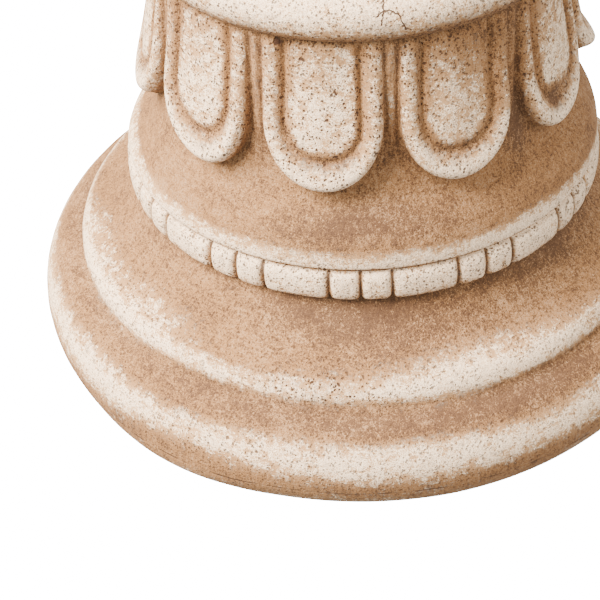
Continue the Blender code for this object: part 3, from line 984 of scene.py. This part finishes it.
def weigh(tree, noises, weights):
    """Sum of noises, each taken about its middle and times its weight."""
    total = None
    for name, weight in weights.items():
        part = maths(tree, "MULTIPLY", maths(tree, "SUBTRACT", noises[name], NOISE_MIDDLE), weight)
        total = part if total is None else maths(tree, "ADD", total, part)
    return total


def stone_noise(tree, place, scale, detail, roughness, stretch=(1, 1, 1), shift=(0, 0, 0), curl=0.0):
    """A noise on the object's own coordinates; returns its value socket."""
    mapped = add_node(tree, "ShaderNodeMapping", [("Vector", place), ("Scale", stretch), ("Location", shift)])
    node = add_node(tree, "ShaderNodeTexNoise", [
        ("Vector", mapped.outputs[0]), ("Scale", scale), ("Detail", detail), ("Roughness", roughness),
        ("Distortion", curl),
    ])
    return node.outputs["Fac"]


def speck_layer(tree, place, scale, share, size):
    """Round specks: cells of a Voronoi pattern, of which some share holds a speck of random size."""
    cells = add_node(tree, "ShaderNodeTexVoronoi", [("Vector", place), ("Scale", scale)])
    chance = add_node(tree, "ShaderNodeSeparateColor", [("Color", cells.outputs["Color"])]).outputs[0]
    width = maths(tree, "MULTIPLY", remap(tree, chance, 1 - share, 1.0), size)
    core = maths(tree, "MULTIPLY", width, SPECK_CORE)
    speck = add_node(tree, "ShaderNodeMapRange", [
        ("Value", cells.outputs["Distance"]), ("From Min", width), ("From Max", core),
        ("To Min", 0.0), ("To Max", 1.0),
    ])
    some = maths(tree, "GREATER_THAN", chance, 1 - share)
    return maths(tree, "MULTIPLY", speck.outputs[0], some, clamp=True)


def attribute(tree, name):
    """A point attribute of the casting; returns its value socket."""
    return add_node(tree, "ShaderNodeAttribute", attribute_name=name).outputs["Fac"]


# Cracks and large air holes: half width in mm, then points by azimuth in degrees and height in mm.
CRACKS = (
    (0.32, ((52.4, 210.5), (51.9, 206.8), (50.3, 205.0))),
    (0.30, ((51.9, 206.8), (51.6, 204.4), (51.2, 201.6))),
    (0.34, ((51.9, 206.8), (55.2, 205.5), (56.1, 202.4), (57.0, 198.6))),
    (0.28, ((56.1, 200.4), (58.5, 198.0))),
    (1.25, ((24.6, 189.6), (25.0, 188.6))),
    (0.50, ((-0.3, 187.6), (0.2, 184.6))),
    (0.62, ((39.6, 171.0), (40.2, 170.2))),
    (0.70, ((31.0, 183.5), (31.9, 182.8))),
    (0.55, ((29.4, 147.0), (29.9, 146.0))),
    (0.60, ((84.5, 146.0), (84.9, 145.0))),
)
CRACKED_RADIUS = 0.0882
# A crack is dark within half its half width, and fades out a little past its edge.
CRACK_EDGE = (1.25, 0.5)
# How far the cracks stray from their lines, and the size of that noise.
CRACK_STRAY = 2.4 * MM
CRACK_STRAY_NOISE = {"Scale": 420.0, "Detail": 3.0}


def crack_line(tree, here, start, end, half_width):
    """1 close to the straight run from start to end."""
    run = end - start
    apart = vector(tree, "SUBTRACT", here, start)
    along = vector(tree, "DOT_PRODUCT", apart, run / run.length_squared)
    share = maths(tree, "ADD", along, 0.0, clamp=True)
    gap = vector(tree, "DISTANCE", apart, vector(tree, "SCALE", run, share))
    return remap(tree, gap, *(edge * half_width for edge in CRACK_EDGE))


def crack_mask(tree, place, round_place):
    """1 inside the cracks and large holes, which are lines in the developed surface of the collar."""
    stray = add_node(tree, "ShaderNodeTexNoise", [("Vector", place), *CRACK_STRAY_NOISE.items()])
    stray = vector(tree, "SUBTRACT", stray.outputs["Color"], (NOISE_MIDDLE,) * 3)
    stray = vector(tree, "MULTIPLY", vector(tree, "SCALE", stray, CRACK_STRAY), (1, 1, 0))
    here = vector(tree, "ADD", round_place, stray)
    lines = []
    for half_width, corners in CRACKS:
        flat = [Vector((math.radians(azimuth) * CRACKED_RADIUS, level * MM, 0)) for azimuth, level in corners]
        for start, end in zip(flat, flat[1:]):
            lines.append(crack_line(tree, here, start, end, half_width * MM))
    return highest(tree, lines)


def unrolled(tree, place):
    """Azimuth times the collar's radius, then height: places on the developed surface. Also the height."""
    parts = add_node(tree, "ShaderNodeSeparateXYZ", [("Vector", place)]).outputs
    azimuth = maths(tree, "ARCTAN2", parts["X"], maths(tree, "MULTIPLY", parts["Y"], -1.0))
    along = maths(tree, "MULTIPLY", azimuth, CRACKED_RADIUS)
    return add_node(tree, "ShaderNodeCombineXYZ", [("X", along), ("Y", parts["Z"])]).outputs[0], parts["Z"]


def brushed_round(tree, place, across, along):
    """Noise drawn out round the axis, as from a brush that follows the mouldings."""
    parts = add_node(tree, "ShaderNodeSeparateXYZ", [("Vector", place)]).outputs
    flat = add_node(tree, "ShaderNodeCombineXYZ", [("X", parts["X"]), ("Y", parts["Y"])]).outputs[0]
    drawn = vector(tree, "SCALE", vector(tree, "NORMALIZE", flat), along)
    height = maths(tree, "MULTIPLY", parts["Z"], across)
    level = add_node(tree, "ShaderNodeCombineXYZ", [("Z", height)]).outputs[0]
    radius = maths(tree, "MULTIPLY", vector(tree, "LENGTH", flat), across)
    node = add_node(tree, "ShaderNodeTexNoise", [
        ("Vector", vector(tree, "ADD", drawn, level)), ("W", radius),
        ("Scale", 1.0), ("Detail", 3.0), ("Roughness", 0.6),
    ], noise_dimensions="4D")
    return node.outputs["Fac"]


def washed_stone(tree, noises, finish):
    """Colour of the stone before its holes: rubbed, washed brown and dirty in its hollows, with the painted
    light and shade that its paint carries. Also how dirty and shaded each place is.
    """
    patina, stain_and_painted_shade, cream, bare = (
        (*tint, 1) for tint in (finish.patina, finish.stain_and_painted_shade, finish.cream, finish.rubbed)
    )
    # The wear also holds painted light on the foot roll's lower side and painted shade under the ring.
    wear = attribute(tree, "wear")
    ragged = weigh(tree, noises, RAGGED)
    ragged = maths(tree, "MULTIPLY", ragged, remap(tree, wear, *CHANGES["ragged where worn"]))
    rubbed = remap(tree, maths(tree, "ADD", wear, ragged), *CHANGES["rubbed"])
    sandy = remap(tree, weigh(tree, noises, SANDY), *CHANGES["rubbed sand"])
    rubbed = maths(tree, "MULTIPLY", rubbed, sandy)

    tone = weigh(tree, noises, TONE)
    base = mix(tree, remap(tree, tone, *CHANGES["dark wash"]), patina, stain_and_painted_shade)
    base = mix(tree, remap(tree, tone, *CHANGES["thin wash"]), base, bare)
    base = mix(tree, remap(tree, wear, *CHANGES["cream"]), base, cream)
    base = mix(tree, rubbed, base, bare)
    # This mask holds the dirt and also the painted shade under the ring and on the side away from the key
    # light.
    settled = maths(tree, "ADD", attribute(tree, "dirt_and_painted_shade"), weigh(tree, noises, DIRT_AND_SHADE_NOISE))
    settled = remap(tree, settled, *CHANGES["settled"])
    return mix(tree, maths(tree, "MULTIPLY", settled, DIRT_AND_SHADE_STRENGTH), base, stain_and_painted_shade), settled


def air_holes(tree, place, settled):
    """1 inside the air holes, fewer where a place has little pitting, and fewer where it is dirty and where
    shade is painted on it.
    """
    bend = add_node(tree, "ShaderNodeTexNoise", [("Vector", place), ("Scale", SPECK_BEND_SCALE)])
    bent = vector(tree, "ADD", place, vector(tree, "SCALE", bend.outputs["Color"], SPECK_BEND))
    layers = [
        maths(tree, "MULTIPLY", speck_layer(tree, bent, scale, share, size), strength)
        for scale, share, size, strength in SPECKS
    ]
    pitted = maths(tree, "MULTIPLY", attribute(tree, "pitting"), MORE_HOLES)
    pitted = maths(tree, "ADD", pitted, FEWEST_HOLES)
    pitted = maths(tree, "MULTIPLY", pitted, remap(tree, settled, *CHANGES["filled holes"]))
    return maths(tree, "MULTIPLY", highest(tree, layers), pitted)


def mould_seam(tree, level, noises, finish):
    """1 on the broken line that the mould's seam left round the foot."""
    level = maths(tree, "ADD", level, weigh(tree, noises, SEAM_SWAY))
    off_seam = maths(tree, "ABSOLUTE", maths(tree, "SUBTRACT", level, finish.seam))
    seam = remap(tree, off_seam, *CHANGES["seam"])
    return maths(tree, "MULTIPLY", seam, remap(tree, noises["patchy"], *CHANGES["broken seam"]))


def stone_material(finish):
    """Cast stone: rubbed white on its high edges, brown in its hollows, and full of air holes."""
    material = bpy.data.materials.new("cast stone")
    material.use_nodes = True
    tree = material.node_tree
    shader = tree.nodes["Principled BSDF"]
    place = add_node(tree, "ShaderNodeTexCoord").outputs["Object"]
    noises = {name: stone_noise(tree, place, **settings) for name, settings in NOISES.items()}
    noises["brushed"] = brushed_round(tree, place, **BRUSHED)

    base, settled = washed_stone(tree, noises, finish)
    round_place, level = unrolled(tree, place)
    seam = maths(tree, "MULTIPLY", mould_seam(tree, level, noises, finish), SEAM_STRENGTH)
    dark = highest(tree, (air_holes(tree, place, settled), crack_mask(tree, place, round_place), seam))
    base = mix(tree, maths(tree, "MULTIPLY", dark, HOLE_STRENGTH), base, (*finish.hole, 1))
    tree.links.new(base, shader.inputs["Base Color"])

    relief = weigh(tree, noises, RELIEF)
    relief = maths(tree, "SUBTRACT", relief, maths(tree, "MULTIPLY", dark, HOLE_DEPTH))
    surface = add_node(tree, "ShaderNodeBump", [*BUMP.items(), ("Height", relief)])
    tree.links.new(surface.outputs[0], shader.inputs["Normal"])
    roughness = remap(tree, noises["grain"], *CHANGES["roughness"])
    tree.links.new(roughness, shader.inputs["Roughness"])
    shader.inputs["Specular IOR Level"].default_value = 0.25
    return material


class COLUMN_OT_casting(bpy.types.Operator):
    """Build the whole casting as one piece"""

    bl_idname = "column.casting"
    bl_label = "Column casting"

    def execute(self, context):
        s = context.scene.column_shape
        finish = context.scene.column_finish
        stone = stone_material(finish)
        foot = foot_rows(s)
        band = band_rows(s, foot.end())
        bell = bell_rows(s, band.end())
        collar = collar_rows(s, bell.end())
        upper = upper_rows(s, collar.end())
        zones = (
            ("foot", foot, s.repeats, COARSE, plain),
            ("band", band, s.repeats, FINE, cut_blocks),
            ("bell", bell, s.repeats, COARSE, plain),
            ("collar", collar, s.tongues, FINE, raise_tongue),
            ("upper", upper, s.repeats, COARSE, plain),
        )
        repeat = repeat_tree()
        meshes = []
        for name, rows, copies, columns, relief in zones:
            sector = add_piece(name, sector_mesh(name, rows, copies, columns, relief, s))
            meshes.append(run_tree(sector, repeat, {"Copies": copies, "Weld distance": WELD, "Stone": stone}))
            bpy.data.objects.remove(sector)
        casting = add_piece("column_casting", join_zones("column_casting", meshes))
        weather(casting.data)
        roughen(casting.data, finish)
        casting.data.materials.clear()
        casting.data.materials.append(stone)
        casting.data.shade_smooth()
        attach(casting, BODY)
        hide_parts(NODE)
        return {"FINISHED"}


def plain_material(name, tint, glow):
    """A plain pale surface for the studio, with a little light of its own."""
    material = bpy.data.materials.new(name)
    material.use_nodes = True
    shader = material.node_tree.nodes["Principled BSDF"]
    shader.inputs["Base Color"].default_value = (*tint, 1)
    shader.inputs["Roughness"].default_value = 0.9
    shader.inputs["Emission Color"].default_value = (1, 1, 1, 1)
    shader.inputs["Emission Strength"].default_value = glow
    return material


FLOOR_SIDE = 8.0
FLOOR_RAYS = ("diffuse", "glossy", "transmission", "volume_scatter", "shadow")
AIM_HEIGHT = 0.15
SENSOR_MM = 36
# Azimuth from the camera and elevation in degrees, then distance and side in metres.
KEY_LIGHT = {"azimuth": -68, "elevation": 46, "distance": 1.6, "side": 1.1}
FILL_LIGHT = {"azimuth": 60, "elevation": 35, "distance": 2.0, "side": 1.4}


def soft_light(name, power, studio, azimuth, elevation, distance, side):
    """A square soft light that looks at the column."""
    turn = studio.turn + math.radians(azimuth)
    rise = math.radians(elevation)
    level = distance * math.cos(rise)
    place = Vector((level * math.sin(turn), -level * math.cos(turn), distance * math.sin(rise)))
    data = bpy.data.lights.new(name, "AREA")
    data.size = side
    data.energy = power
    data.color = studio.warmth
    lamp = bpy.data.objects.new(name, data)
    lamp.location = Vector((0, 0, AIM_HEIGHT)) + place
    lamp.rotation_euler = (-place).to_track_quat("-Z", "Y").to_euler()
    bpy.context.scene.collection.objects.link(lamp)


class COLUMN_OT_studio(bpy.types.Operator):
    """Add the floor, the soft lights and the camera"""

    bl_idname = "column.studio"
    bl_label = "Studio"

    def execute(self, context):
        studio = context.scene.studio_settings
        bpy.ops.mesh.primitive_plane_add(size=FLOOR_SIDE, location=(0, 0, 0))
        floor = context.active_object
        floor.name = "floor"
        floor.data.materials.append(plain_material("pale floor", studio.floor, studio.floor_glow))
        for ray in FLOOR_RAYS:
            setattr(floor, "visible_" + ray, False)

        world = bpy.data.worlds.new("studio")
        world.use_nodes = True
        sky = world.node_tree.nodes["Background"]
        sky.inputs["Color"].default_value = (1, 1, 1, 1)
        sky.inputs["Strength"].default_value = studio.sky
        context.scene.world = world
        soft_light("key", studio.key, studio, **KEY_LIGHT)
        soft_light("fill", studio.fill, studio, **FILL_LIGHT)

        data = bpy.data.cameras.new("photograph")
        data.sensor_width = SENSOR_MM
        data.lens = studio.focal_pixels / studio.picture_pixels * data.sensor_width
        camera = bpy.data.objects.new("photograph", data)
        camera.matrix_world = camera_place(studio)
        context.scene.collection.objects.link(camera)
        context.scene.camera = camera
        return {"FINISHED"}


def camera_place(studio):
    """The camera's place: level distance, height, then pan, tilt and roll."""
    pan, tilt, roll_angle = studio.pan, studio.tilt, studio.roll
    ahead = Vector((math.sin(pan) * math.cos(tilt), math.cos(pan) * math.cos(tilt), -math.sin(tilt)))
    across = Vector((math.cos(pan), -math.sin(pan), 0))
    down = ahead.cross(across)
    right = math.cos(roll_angle) * across + math.sin(roll_angle) * down
    up = math.sin(roll_angle) * across - math.cos(roll_angle) * down
    place = Matrix((right, up, -ahead)).transposed().to_4x4()
    place.translation = (0, -studio.distance, studio.height)
    return Matrix.Rotation(studio.turn, 4, "Z") @ place


class COLUMN_PT_panel(bpy.types.Panel):
    """Lists the steps in the sidebar"""

    bl_idname = "COLUMN_PT_panel"
    bl_label = "Cast pedestal column"
    bl_space_type = "VIEW_3D"
    bl_region_type = "UI"
    bl_category = "Column"

    def draw(self, context):
        for step in STEPS:
            self.layout.operator(step.bl_idname)


STEPS = (COLUMN_OT_studio, COLUMN_OT_casting)
GROUPS = (("column_shape", ColumnShape), ("column_finish", ColumnFinish), ("studio_settings", StudioSettings))


def register():
    """Register the property groups, the operators and the panel."""
    for name, group in GROUPS:
        bpy.utils.register_class(group)
        setattr(bpy.types.Scene, name, PointerProperty(type=group))
    for kind in (*STEPS, COLUMN_PT_panel):
        bpy.utils.register_class(kind)


def unregister():
    """Take them away again."""
    for kind in (COLUMN_PT_panel, *reversed(STEPS)):
        bpy.utils.unregister_class(kind)
    for name, group in reversed(GROUPS):
        delattr(bpy.types.Scene, name)
        bpy.utils.unregister_class(group)


def main():
    """Build everything in order."""
    register()
    bpy.ops.column.studio()
    bpy.ops.column.casting()


if __name__ == "__main__":
    main()
